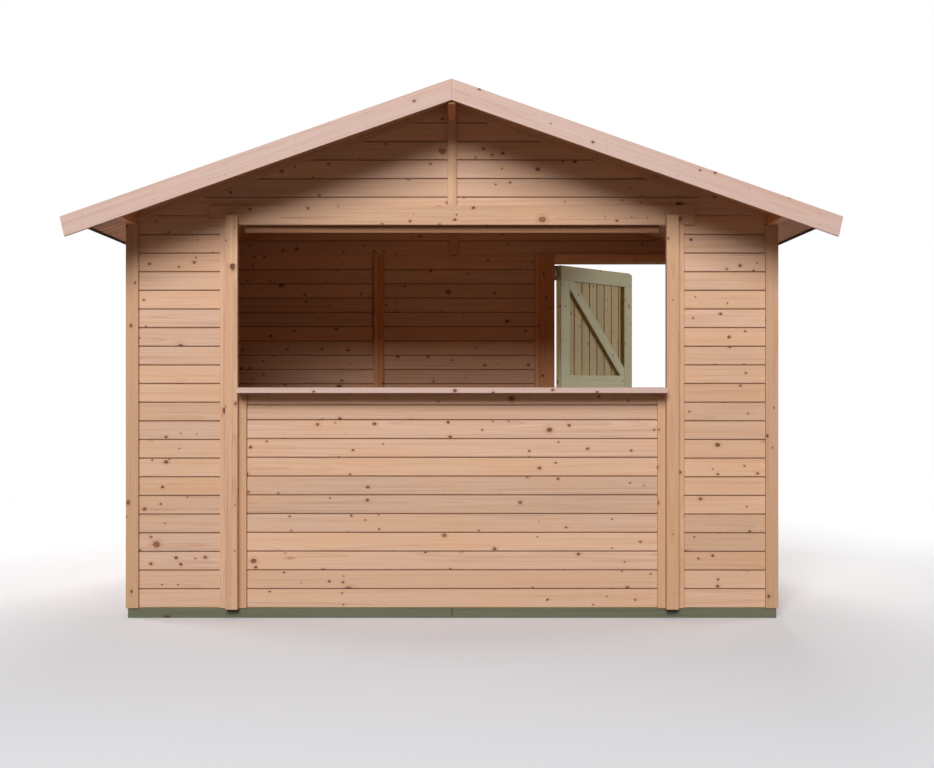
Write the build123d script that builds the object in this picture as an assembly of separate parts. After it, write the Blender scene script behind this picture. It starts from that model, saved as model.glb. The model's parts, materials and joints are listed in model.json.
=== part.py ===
from build123d import *
import os
from math import cos, radians, sqrt, tan

# A wooden market stall: a boarded hut with a gable roof, a sales opening over a counter in the
# front, and a door in the back. It stands on flat ground at z = 0 with its front towards -Y and
# +X to the right as a customer sees it. The origin is the middle of the footprint.
# Everything is in millimetres.

# Hut, over the corner trims
hut_width = 3000
hut_depth = 2000
board_cover = 86
wall_courses = 21
section_rise = 43

# Timber
board_thick = 19
trim_thick = 19
trim_width = 58
stud_width = 28
stud_depth = 45
plate_height = 28
joint_gap = 1

# Base and floor
bearer_width = 95
bearer_height = 45
bearer_inset = 8
bearer_gap = 2
floor_thick = 19
floor_gap = 1

# Roof
roof_slope = 19.4
roof_thick = 19
eave_overhang = 140
front_overhang = 436
back_overhang = 300
barge_width = 87
barge_thick = 19
barge_overhang = 183
barge_undercut = 19
felt_thick = 3
felt_lip = 13
ridge_purlin_width = 34
ridge_purlin_height = 83
eave_purlin_width = 45
eave_purlin_height = 47
eave_purlin_inset = 7
gable_trim_width = 26
ridge_batten_width = 42

# Sales opening in the front
opening_width = 1960
wall_edge_setback = 20
parapet_top = 1034
parapet_batten_width = 45
counter_thick = 26
counter_front_reach = 119
counter_depth = 350
counter_gap = 2
counter_edge_radius = 4
post_width = 56
post_thick = 40
post_lap = 42
backing_width = 77
backing_setback = 10
lintel_width = 91
lintel_bearing = 136
header_batten_height = 33
header_batten_gap = 22
header_batten_thick = 19

# Joints of the wall sections in the back, seen from inside
back_joint_left = -452
back_joint_right = 512
gable_stud_width = 48

# Doorway in the back
jamb_width = 61
door_head_height = 49
casing_lap = 4
casing_width = 58
sill_thick = 19

# Door leaf, drawn shut and then swung open
door_clear = 5
door_board_thick = 19
door_ledge_thick = 19
door_ledge_width = 90
door_middle_ledge = 1040
door_stile_width = 95
door_brace_width = 70
door_clip_across = 36
door_clip_down = 11
door_open_angle = 52

# Strap hinges on the outside of the door
hinge_barrel_radius = 8
hinge_barrel_length = 90
hinge_barrel_clear = 0.5
hinge_pin_radius = 3
hinge_pin_clear = 0.1
hinge_plate_thick = 3
hinge_plate_width = 40
hinge_plate_height = 88
hinge_strap_length = 320
hinge_strap_root = 40
hinge_strap_tip = 22

# Bolt and pull handle on the outside of the door, by the free edge
bolt_height = 1080
bolt_rod_radius = 5
bolt_rod_length = 130
bolt_plate = (120, 36, 2)
bolt_loop_radius = 9
bolt_loop_length = 12
bolt_loop_spacing = 60
bolt_knob_length = 22
bolt_edge_gap = 4
keeper_width = 30
keeper_bore_clear = 0.5
handle_height = 900
handle_length = 110
handle_reach = 36
handle_bar_radius = 5
handle_bend = 14
handle_foot_radius = 12
handle_foot_thick = 3
handle_edge_distance = 60

# Wall planes, from the outside in
trim_x = hut_width / 2
face_x = trim_x - trim_thick
inner_x = face_x - board_thick
frame_x = inner_x - stud_depth
trim_y = hut_depth / 2
face_y = trim_y - trim_thick
inner_y = face_y - board_thick
frame_y = inner_y - stud_depth
corner_trim_x = trim_x - trim_width

# Heights worked out from the sizes above
wall_top = bearer_height + board_cover * wall_courses
plate_line = wall_top - section_rise
floor_top = bearer_height + floor_thick
plate_top = bearer_height + plate_height
counter_top = parapet_top + counter_thick
lintel_top = plate_line + lintel_width
post_top = plate_line + post_lap
opening_top = plate_line - header_batten_height
door_head_line = wall_top - door_head_height
opening_half_width = opening_width / 2
wall_edge = opening_half_width + wall_edge_setback
backing_edge = opening_half_width + backing_setback
lintel_reach = opening_half_width + lintel_bearing
header_batten_reach = opening_half_width - header_batten_gap

# Roof lines
fall = tan(radians(roof_slope))
stretch = 1 / cos(radians(roof_slope))
roof_front = -(face_y + front_overhang - barge_thick)
roof_back = face_y + back_overhang - barge_thick
barge_front = roof_front - barge_thick
barge_back = roof_back + barge_thick
purlin_outer_x = trim_x - eave_purlin_inset
purlin_inner_x = purlin_outer_x - eave_purlin_width
ridge_height = plate_line + eave_purlin_height + purlin_inner_x * fall
eave_reach = trim_x + eave_overhang
barge_reach = trim_x + barge_overhang
ridge_purlin_x = ridge_purlin_width / 2
ridge_purlin_base = ridge_height - ridge_purlin_height

# Doorway and leaf
jamb_left = back_joint_right + stud_width
jamb_face = jamb_left + jamb_width
casing_edge = jamb_face + casing_lap
door_left = casing_edge + door_clear
casing_base = door_head_line - casing_lap
door_top = casing_base - door_clear
door_bottom = bearer_height + sill_thick + door_clear
ledge_inner_y = inner_y + door_clear
ledge_outer_y = ledge_inner_y + door_ledge_thick
door_outer_y = ledge_outer_y + door_board_thick
hinge_x = (casing_edge + door_left) / 2
hinge_y = door_outer_y + hinge_barrel_clear + hinge_barrel_radius
hinge_axis = Axis((hinge_x, hinge_y, 0), (0, 0, 1))
# The leaf's inner free corner swings outwards first, so the free edge is set back for it.
swing_radius = corner_trim_x - door_clear - hinge_x
swing_offset = hinge_y - ledge_inner_y
door_right = hinge_x + sqrt(swing_radius**2 - swing_offset**2)
hinge_heights = [door_bottom + door_ledge_width / 2, door_top - door_ledge_width / 2]

nodes = {}


def roof_under(x):
    """Height of the underside of the roof boards at x."""
    return ridge_height - abs(x) * fall


def block(x, y, z):
    """A plain timber between the pairs x, y and z."""
    size = [high - low for low, high in (x, y, z)]
    middle = [(high + low) / 2 for low, high in (x, y, z)]
    return Pos(*middle) * Box(*size)


def along_y(points, y):
    """An outline of x and z points, carried along y."""
    plane = Plane(origin=(0, y[0], 0), x_dir=(1, 0, 0), z_dir=(0, -1, 0))
    face = plane * make_face(Polyline(*points, close=True))
    return extrude(face, amount=y[1] - y[0], dir=(0, 1, 0))


def along_z(points, z):
    """An outline of x and y points, carried up z."""
    face = Plane.XY.offset(z[0]) * make_face(Polyline(*points, close=True))
    return extrude(face, amount=z[1] - z[0], dir=(0, 0, 1))


def other_side(piece):
    """The same piece on the other side of the middle of the hut."""
    return mirror(piece, about=Plane.YZ)


def to_back(piece):
    """The same piece turned front to back."""
    return mirror(piece, about=Plane.XZ)


def keep(name, *pieces):
    """Put one or more separate solids in a node."""
    nodes[name] = [solid for piece in pieces for solid in piece.solids()]


def swing(piece):
    """Move a piece of the shut door to where the open door holds it."""
    return piece.rotate(hinge_axis, door_open_angle)


def make_base():
    """Bearers flat on the ground as a ring with a middle one, and two floor panels on them."""
    end_x = trim_x - bearer_inset
    end_y = trim_y - bearer_inset
    ring_x = end_x - bearer_width
    ring_y = end_y - bearer_width
    height = (0, bearer_height)
    half = block((bearer_gap / 2, end_x), (-end_y, -ring_y), height)
    halves = [half, other_side(half), to_back(half), other_side(to_back(half))]
    middle = block((-ring_x, ring_x), (-bearer_width / 2, bearer_width / 2), height)
    side = block((ring_x, end_x), (-ring_y, ring_y), height)
    keep("base_bearers_long", *halves, middle)
    keep("base_bearers_side", side, other_side(side))

    edge_x = frame_x - floor_gap
    edge_y = frame_y - floor_gap
    panel = block((floor_gap, edge_x), (-edge_y, edge_y), (bearer_height, floor_top))
    keep("floor_right", panel)
    keep("floor_left", other_side(panel))


def make_front_wall():
    """Boarding beside, below and above the sales opening."""
    layer = (-face_y, -inner_y)
    side_outline = [
        (wall_edge, bearer_height),
        (face_x, bearer_height),
        (face_x, plate_line),
        (purlin_inner_x, plate_line),
        (purlin_inner_x, wall_top),
        (wall_edge, wall_top),
    ]
    side = along_y(side_outline, layer)
    keep("front_wall_right", side)
    keep("front_wall_left", other_side(side))
    span = (-wall_edge, wall_edge)
    keep("front_parapet", block(span, layer, (bearer_height, parapet_top)))

    right_half = [
        (ridge_purlin_x, ridge_purlin_base),
        (ridge_purlin_x, roof_under(ridge_purlin_x)),
        (purlin_inner_x, roof_under(purlin_inner_x)),
        (purlin_inner_x, wall_top),
        (wall_edge, wall_top),
        (wall_edge, plate_line),
    ]
    keep("front_gable", along_y(right_half + [(-x, z) for x, z in reversed(right_half)], layer))


def make_front_trim():
    """Lintel, posts, battens and header that frame the sales opening."""
    trim = (-trim_y, -face_y)
    reach = (-lintel_reach, lintel_reach)
    keep("lintel_board", block(reach, trim, (plate_line, lintel_top)))

    post_x = (opening_half_width, opening_half_width + post_width)
    post = block(post_x, (-trim_y - post_thick, -trim_y), (bearer_height, post_top))
    keep("front_posts", post, other_side(post))

    backing_x = (backing_edge, backing_edge + backing_width)
    backing = block(backing_x, trim, (bearer_height, plate_line))
    keep("post_backings", backing, other_side(backing))

    batten_x = (backing_edge - parapet_batten_width, backing_edge)
    batten = block(batten_x, trim, (bearer_height, parapet_top))
    keep("parapet_battens", batten, other_side(batten))

    header_x = (-header_batten_reach, header_batten_reach)
    layer = (-inner_y, -inner_y + header_batten_thick)
    keep("header_batten", block(header_x, layer, (opening_top, plate_line)))

    rail_x = (-wall_edge, wall_edge)
    frame = (-inner_y, -frame_y)
    keep("header_rail", block(rail_x, frame, (plate_line, wall_top)))
    keep("counter_rail", block(rail_x, frame, (parapet_top - plate_height, parapet_top)))


def make_counter():
    """The serving board, which lies on the parapet and is notched round the two posts."""
    front = -(face_y + counter_front_reach)
    notch = -(face_y - counter_gap)
    back = front + counter_depth
    right_half = [
        (opening_half_width - counter_gap, front),
        (opening_half_width - counter_gap, notch),
        (wall_edge - counter_gap, notch),
        (wall_edge - counter_gap, back),
    ]
    outline = right_half + [(-x, y) for x, y in reversed(right_half)]
    board = along_z(outline, (parapet_top, counter_top))
    front_edges = board.edges().filter_by(Axis.X).group_by(Axis.Y)[0]
    keep("counter", fillet(front_edges, counter_edge_radius))


def make_side_walls():
    """Boarding of the two closed sides, between the front and the back."""
    wall = block((inner_x, face_x), (-inner_y, inner_y), (bearer_height, plate_line))
    keep("right_wall", wall)
    keep("left_wall", other_side(wall))


def make_back_wall():
    """Boarding of the back in its sections, cut away for the doorway."""
    layer = (inner_y, face_y)

    def section_outline(inner, outer, sign):
        outline = [
            (inner, bearer_height),
            (outer, bearer_height),
            (outer, plate_line),
            (purlin_inner_x, plate_line),
            (purlin_inner_x, wall_top),
            (inner, wall_top),
        ]
        return [(sign * x, z) for x, z in outline]

    left = along_y(section_outline(-back_joint_left, face_x, -1), layer)
    keep("back_wall_left", left)
    middle_x = (back_joint_left, back_joint_right)
    keep("back_wall_middle", block(middle_x, layer, (bearer_height, wall_top)))

    beside = block((back_joint_right, jamb_face), layer, (bearer_height, wall_top))
    corner = block((corner_trim_x, face_x), layer, (bearer_height, plate_line))
    keep("back_wall_beside_door", beside, corner)
    over_x = (jamb_face, purlin_inner_x)
    over = block(over_x, layer, (plate_line, wall_top))
    keep("back_wall_over_door", over)

    right_half = [
        (ridge_purlin_x, ridge_purlin_base),
        (ridge_purlin_x, roof_under(ridge_purlin_x)),
        (purlin_inner_x, roof_under(purlin_inner_x)),
        (purlin_inner_x, wall_top),
    ]
    keep("back_gable", along_y(right_half + [(-x, z) for x, z in reversed(right_half)], layer))


def make_frames():
    """Studs and plates inside the boarding, which show through the sales opening."""
    front = (-inner_y, -frame_y)
    back = (frame_y, inner_y)
    side = (frame_x, inner_x)
    corner = (inner_x - stud_width, inner_x)
    sole = (bearer_height, plate_top)

    opening_stud_x = (wall_edge, wall_edge + stud_width)
    opening_stud = block(opening_stud_x, front, (plate_top, wall_top))
    corner_stud = block(corner, front, (plate_top, plate_line))
    keep("front_wall_studs", opening_stud, other_side(opening_stud), corner_stud, other_side(corner_stud))

    studs = [other_side(block(corner, back, (plate_top, plate_line)))]
    for joint in (back_joint_left, back_joint_right):
        for low, high in ((-stud_width, -joint_gap / 2), (joint_gap / 2, stud_width)):
            studs.append(block((joint + low, joint + high), back, (plate_top, wall_top)))
    keep("back_wall_studs", *studs)
    gable_stud_x = (-gable_stud_width / 2, gable_stud_width / 2)
    keep("back_gable_stud", block(gable_stud_x, back, (wall_top, ridge_purlin_base)))

    front_sole = block((-inner_x, inner_x), front, sole)
    back_sole = block((-inner_x, jamb_left), back, sole)
    keep("end_wall_plates", front_sole, back_sole)

    side_studs = []
    end_y = frame_y - stud_width
    for y in ((-frame_y, -end_y), (-stud_width / 2, stud_width / 2), (end_y, frame_y)):
        stud = block(side, y, (plate_top, plate_line - plate_height))
        side_studs += [stud, other_side(stud)]
    keep("side_wall_studs", *side_studs)
    side_sole = block(side, (-frame_y, frame_y), sole)
    side_top = block(side, (-frame_y, frame_y), (plate_line - plate_height, plate_line))
    keep("side_wall_plates", side_sole, other_side(side_sole), side_top, other_side(side_top))


def make_corner_trims():
    """An L of two boards over each corner, up to the purlins."""
    outline = [
        (corner_trim_x, -trim_y),
        (trim_x, -trim_y),
        (trim_x, -trim_y + trim_width),
        (face_x, -trim_y + trim_width),
        (face_x, -face_y),
        (corner_trim_x, -face_y),
    ]
    trim = along_z(outline, (bearer_height, plate_line))
    keep("front_corner_trims", trim, other_side(trim))
    keep("back_corner_trims", to_back(trim), other_side(to_back(trim)))


def make_roof():
    """Roof boards on the purlins, with felt over them that is folded down at the eaves."""
    length = (roof_front, roof_back)
    boards_outline = [
        (0, ridge_height),
        (eave_reach, roof_under(eave_reach)),
        (eave_reach, roof_under(eave_reach) + roof_thick * stretch),
        (0, ridge_height + roof_thick * stretch),
    ]
    boards = along_y(boards_outline, length)
    keep("roof_right", boards)
    keep("roof_left", other_side(boards))

    top = roof_thick * stretch
    skin = top + felt_thick * stretch
    edge = eave_reach + felt_thick
    sheet_outline = [
        (0, ridge_height + top),
        (edge, roof_under(edge) + top),
        (edge, roof_under(edge) + skin),
        (0, ridge_height + skin),
    ]
    lip_base = roof_under(eave_reach) - felt_lip
    lip_outline = [
        (eave_reach, lip_base),
        (edge, lip_base),
        (edge, roof_under(edge) + skin),
        (eave_reach, roof_under(eave_reach) + skin),
    ]
    felt = along_y(sheet_outline, length) + along_y(lip_outline, length)
    keep("felt_right", felt)
    keep("felt_left", other_side(felt))


def make_purlins():
    """A ridge purlin with a peaked top, and a bevelled purlin on each side wall."""
    length = (roof_front, roof_back)
    ridge_outline = [
        (-ridge_purlin_x, ridge_purlin_base),
        (ridge_purlin_x, ridge_purlin_base),
        (ridge_purlin_x, roof_under(ridge_purlin_x)),
        (0, ridge_height),
        (-ridge_purlin_x, roof_under(ridge_purlin_x)),
    ]
    keep("ridge_purlin", along_y(ridge_outline, length))
    eave_outline = [
        (purlin_inner_x, plate_line),
        (purlin_outer_x, plate_line),
        (purlin_outer_x, roof_under(purlin_outer_x)),
        (purlin_inner_x, roof_under(purlin_inner_x)),
    ]
    eave = along_y(eave_outline, length)
    keep("eave_purlins", eave, other_side(eave))


def make_barge_boards():
    """Four boards over the ends of the roof, mitred plumb at the ridge and level with the felt."""
    top = ridge_height + (roof_thick + felt_thick) * stretch
    base = top - barge_width * stretch
    foot = barge_reach - barge_undercut
    outline = [
        (0, base),
        (foot, base - foot * fall),
        (barge_reach, top - barge_reach * fall),
        (0, top),
    ]
    front = along_y(outline, (barge_front, roof_front))
    back = along_y(outline, (roof_back, barge_back))
    keep("front_barge_right", front)
    keep("front_barge_left", other_side(front))
    keep("back_barge_right", back)
    keep("back_barge_left", other_side(back))


def make_gable_trim():
    """Slanted trims under the roof and an upright batten on each gable."""
    front = (-trim_y, -face_y)
    drop = gable_trim_width * stretch
    outline = [
        (ridge_purlin_x, roof_under(ridge_purlin_x) - drop),
        (purlin_inner_x, roof_under(purlin_inner_x) - drop),
        (purlin_inner_x, roof_under(purlin_inner_x)),
        (ridge_purlin_x, roof_under(ridge_purlin_x)),
    ]
    trim = along_y(outline, front)
    keep("gable_trims", trim, other_side(trim), to_back(trim), other_side(to_back(trim)))
    batten_x = (-ridge_batten_width / 2, ridge_batten_width / 2)
    front_batten = block(batten_x, front, (lintel_top, ridge_purlin_base))
    back_batten = block(batten_x, (face_y, trim_y), (wall_top, ridge_purlin_base))
    keep("gable_battens", front_batten, back_batten)


def make_door_frame():
    """Jambs, head, sill and outside casing of the doorway."""
    frame = (frame_y, inner_y)
    left = block((jamb_left, jamb_face), frame, (bearer_height, wall_top))
    right = block((inner_x - stud_width, inner_x), frame, (bearer_height, plate_line))
    keep("door_jambs", left, right)
    head_x = (jamb_face, inner_x - stud_width)
    keep("door_head", block(head_x, frame, (door_head_line, wall_top)))
    sill_x = (casing_edge, inner_x - stud_width)
    keep("door_sill", block(sill_x, (frame_y, trim_y), (bearer_height, bearer_height + sill_thick)))

    trim = (face_y, trim_y)
    side_x = (casing_edge - casing_width, casing_edge)
    side = block(side_x, trim, (bearer_height, casing_base - joint_gap))
    casing_top = casing_base + casing_width
    slope_line = ridge_height - gable_trim_width * stretch - joint_gap
    head_outline = [
        (side_x[0], casing_base),
        (corner_trim_x, casing_base),
        (corner_trim_x, slope_line - corner_trim_x * fall),
        ((slope_line - casing_top) / fall, casing_top),
        (side_x[0], casing_top),
    ]
    keep("door_casing", side, along_y(head_outline, trim))


def make_door():
    """The leaf: upright boards on ledges, stiles and braces, with the free top corner clipped."""
    inside = (ledge_inner_y, ledge_outer_y)
    full_x = (door_left, door_right)

    def clipped(base):
        return [
            (door_left, base),
            (door_right, base),
            (door_right, door_top - door_clip_down),
            (door_right - door_clip_across, door_top),
            (door_left, door_top),
        ]

    boards = along_y(clipped(door_bottom), (ledge_outer_y, door_outer_y))
    keep("door_boards", swing(boards))

    bay_x = (door_left + door_stile_width, door_right - door_stile_width)
    low_bay = (door_bottom + door_ledge_width, door_middle_ledge)
    high_bay = (door_middle_ledge + door_ledge_width, door_top - door_ledge_width)
    low_ledge = block(full_x, inside, (door_bottom, low_bay[0]))
    middle_ledge = block(bay_x, inside, (low_bay[1], high_bay[0]))
    high_ledge = along_y(clipped(high_bay[1]), inside)
    keep("door_ledges", swing(low_ledge), swing(middle_ledge), swing(high_ledge))

    stile_z = (low_bay[0], high_bay[1])
    hinge_stile = block((door_left, bay_x[0]), inside, stile_z)
    lock_stile = block((bay_x[1], door_right), inside, stile_z)
    keep("door_stiles", swing(hinge_stile), swing(lock_stile))

    braces = []
    for bay in (low_bay, high_bay):
        start = Vector(bay_x[0], 0, bay[1])
        end = Vector(bay_x[1], 0, bay[0])
        run = (end - start).normalized()
        side = Vector(-run.Z, 0, run.X) * (door_brace_width / 2)
        corners = [start - run * door_brace_width, end + run * door_brace_width]
        outline = [corners[0] - side, corners[1] - side, corners[1] + side, corners[0] + side]
        band = along_y([(point.X, point.Z) for point in outline], inside)
        braces.append(swing(band & block(bay_x, inside, bay)))
    keep("door_braces", *braces)


def make_hinges():
    """Two strap hinges: straps on the leaf, plates with the pins on the casing."""
    third = hinge_barrel_length / 3
    outer_radius = hinge_barrel_radius
    bore_radius = hinge_pin_radius + hinge_pin_clear
    straps = []
    plates = []
    for height in hinge_heights:
        centre = Pos(hinge_x, hinge_y, height)
        strap_face = (door_outer_y, door_outer_y + hinge_plate_thick)
        root = hinge_strap_root / 2
        tip = hinge_strap_tip / 2
        end_x = hinge_x + hinge_strap_length
        outline = [
            (hinge_x, height - root),
            (end_x - tip, height - tip),
            (end_x, height),
            (end_x - tip, height + tip),
            (hinge_x, height + root),
        ]
        strap = along_y(outline, strap_face)
        low = Pos(0, 0, -third) * Cylinder(outer_radius, third - joint_gap)
        high = Pos(0, 0, third) * Cylinder(outer_radius, third - joint_gap)
        root_plate = block(
            (hinge_x, hinge_x + hinge_plate_width),
            strap_face,
            (height - hinge_plate_height / 2, height + hinge_plate_height / 2),
        )
        room = Cylinder(outer_radius + joint_gap, third + joint_gap)
        bore = Cylinder(bore_radius, 2 * hinge_barrel_length)
        strap = strap + root_plate + centre * (low + high) - centre * room - centre * bore
        straps.append(swing(strap))

        plate_x = (casing_edge - hinge_plate_width - outer_radius, casing_edge - outer_radius)
        plate_z = (height - hinge_plate_height / 2, height + hinge_plate_height / 2)
        plate = block(plate_x, (trim_y, trim_y + hinge_plate_thick), plate_z)
        knuckle_z = (height - third / 2 + joint_gap / 2, height + third / 2 - joint_gap / 2)
        arm = block((plate_x[1] - hinge_plate_thick, hinge_x), (trim_y, hinge_y), knuckle_z)
        knuckle = centre * Cylinder(outer_radius, third - joint_gap)
        pin = centre * Cylinder(hinge_pin_radius, hinge_barrel_length)
        plates.append(plate + arm + knuckle + pin)
    keep("door_strap_hinges", *straps)
    keep("hinge_plates", *plates)


def make_fastenings():
    """A bolt and a pull handle on the leaf, and the bolt's keeper on the corner trim."""
    length, width, thick = bolt_plate
    plate_x = (door_right - bolt_edge_gap - length, door_right - bolt_edge_gap)
    plate_z = (bolt_height - width / 2, bolt_height + width / 2)
    rod_y = door_outer_y + bolt_loop_radius
    loop_x = (plate_x[0] + plate_x[1]) / 2
    plate = block(plate_x, (door_outer_y, door_outer_y + thick), plate_z)
    along_x = Rot(0, 90, 0)
    rod = Pos(plate_x[1] - bolt_rod_length / 2, rod_y, bolt_height) * along_x * Cylinder(
        bolt_rod_radius, bolt_rod_length
    )
    knob_x = plate_x[1] - bolt_rod_length + bolt_rod_radius
    knob = Pos(knob_x, rod_y + bolt_knob_length / 2, bolt_height) * Rot(90, 0, 0) * Cylinder(
        bolt_rod_radius, bolt_knob_length
    )
    bolt = plate + rod + knob
    for shift in (-bolt_loop_spacing / 2, bolt_loop_spacing / 2):
        loop = Cylinder(bolt_loop_radius, bolt_loop_length)
        bolt += Pos(loop_x + shift, rod_y, bolt_height) * along_x * loop
    keep("door_bolt", swing(bolt))

    keeper_x = corner_trim_x + trim_width / 2
    keeper_bore = bolt_rod_radius + keeper_bore_clear
    ring = Cylinder(bolt_loop_radius, bolt_loop_length) - Cylinder(keeper_bore, bolt_loop_length)
    ring = Pos(keeper_x, rod_y, bolt_height) * along_x * ring
    seat_x = (keeper_x - keeper_width / 2, keeper_x + keeper_width / 2)
    seat = block(seat_x, (trim_y, rod_y - bolt_loop_radius + thick), plate_z)
    keep("bolt_keeper", seat + ring)

    foot_x = door_right - handle_edge_distance
    foot_z = (handle_height, handle_height + handle_length)
    grip_y = door_outer_y + handle_reach
    path = FilletPolyline(
        (foot_x, door_outer_y, foot_z[0]),
        (foot_x, grip_y, foot_z[0]),
        (foot_x, grip_y, foot_z[1]),
        (foot_x, door_outer_y, foot_z[1]),
        radius=handle_bend,
    )
    start = Plane(origin=(foot_x, door_outer_y, foot_z[0]), z_dir=(0, 1, 0))
    bar = sweep(start * Circle(handle_bar_radius), path=path)
    for height in foot_z:
        foot = Cylinder(handle_foot_radius, handle_foot_thick)
        bar += Pos(foot_x, door_outer_y + handle_foot_thick / 2, height) * Rot(90, 0, 0) * foot
    keep("door_handle", swing(bar))


def build():
    """Make every node and write each one to its own file."""
    make_base()
    make_front_wall()
    make_front_trim()
    make_counter()
    make_side_walls()
    make_back_wall()
    make_frames()
    make_corner_trims()
    make_roof()
    make_purlins()
    make_barge_boards()
    make_gable_trim()
    make_door_frame()
    make_door()
    make_hinges()
    make_fastenings()
    os.makedirs("parts", exist_ok=True)
    for name, solids in nodes.items():
        shape = solids[0] if len(solids) == 1 else Compound(solids)
        export_step(shape, f"parts/{name}.step")


build()
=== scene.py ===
import json
import math
import random

import bmesh
import bpy
from mathutils import Matrix, Vector, noise


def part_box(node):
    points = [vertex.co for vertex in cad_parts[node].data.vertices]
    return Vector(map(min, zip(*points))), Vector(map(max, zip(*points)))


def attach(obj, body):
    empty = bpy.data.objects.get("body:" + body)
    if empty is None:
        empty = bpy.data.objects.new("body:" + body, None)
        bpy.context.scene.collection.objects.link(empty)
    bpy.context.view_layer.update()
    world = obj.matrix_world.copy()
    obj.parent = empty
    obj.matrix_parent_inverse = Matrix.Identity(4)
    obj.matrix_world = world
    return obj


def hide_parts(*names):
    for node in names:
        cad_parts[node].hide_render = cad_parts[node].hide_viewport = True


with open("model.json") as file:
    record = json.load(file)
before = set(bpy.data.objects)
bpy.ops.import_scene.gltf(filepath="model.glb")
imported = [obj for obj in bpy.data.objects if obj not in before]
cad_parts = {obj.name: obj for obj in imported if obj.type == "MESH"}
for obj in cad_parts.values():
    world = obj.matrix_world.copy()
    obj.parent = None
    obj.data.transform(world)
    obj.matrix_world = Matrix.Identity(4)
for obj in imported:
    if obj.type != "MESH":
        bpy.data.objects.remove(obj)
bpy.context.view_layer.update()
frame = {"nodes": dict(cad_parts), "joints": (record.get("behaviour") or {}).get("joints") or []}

# Everything is in metres. The hut's front faces -Y and +X is to the right.
X = Vector((1, 0, 0))
Y = Vector((0, 1, 0))
Z = Vector((0, 0, 1))

# Boards of the walls, roof, floor and door
board_cover = 0.086
parapet_cover = 0.0865
parapet_top_board = 0.055
board_gap = 0.0046
board_chamfer = 0.0028
tongue_overlap = 0.005
tongue_share = 0.24
edge_round = 0.0016
bearer_round = 0.002

# Tones of single timbers, on the scale of 0 to 1 that the others get by chance
# The tongues deep in the joints are painted dark: painted shade of the gap, with a little real greying of the
# wood there
groove_shade_tone = -3.0
lintel_tone = 0.3
# The batten under the lintel is painted darker: painted shade of the lintel above it
batten_shade_tone = -2.8
# The door head is painted lighter than any board: painted light for the daylight that falls on it through the
# opening
door_head_light_tone = 2.6

# The leaf stands open at rest, by as much as its hinge turns back to shut it
hinge = frame["joints"][0]
hinge_place = Vector(hinge["pos_m"])
open_angle = -math.radians(hinge["range_deg"][0])
leaf_across = Vector((math.cos(open_angle), math.sin(open_angle), 0))
leaf_out = Vector((-math.sin(open_angle), math.cos(open_angle), 0))

# Roofing felt, on top of the roof boards
felt_sheet = 0.0014
felt_course = 0.93
felt_lap = 0.08
felt_cap = 0.13
clout_spacing = 0.1

# Heads of nails and screws, and the thickness of the plates under the screws
trim_nail = {"radius": 0.0019, "height": 0.0004}
door_nail = {"radius": 0.0024, "height": 0.0005}
clout = {"radius": 0.004, "height": 0.001}
screw = {"radius": 0.0042, "height": 0.0018}
hinge_plate = 0.003
bolt_plate = 0.002

# Marks in wood: cells to a metre, smallest and largest radius, how much rarer the large ones are, and the
# cells to a metre along the grain as a share of those across it
small_knot = {"scale": 19.0, "small": 0.0024, "large": 0.006, "steepness": 1.5}
large_knot = {"scale": 8.0, "small": 0.0055, "large": 0.0115, "steepness": 2.0}
smear_mark = {"scale": 9.0, "small": 0.003, "large": 0.009, "steepness": 1.0, "along_share": 0.26}

# Their colours, as a screen shows them
smear_brown = (158, 88, 46)
halo_brown = (176, 104, 58)
dark_heart = (60, 32, 19)
light_heart = (158, 92, 52)
rim_brown = (62, 31, 17)


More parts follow.
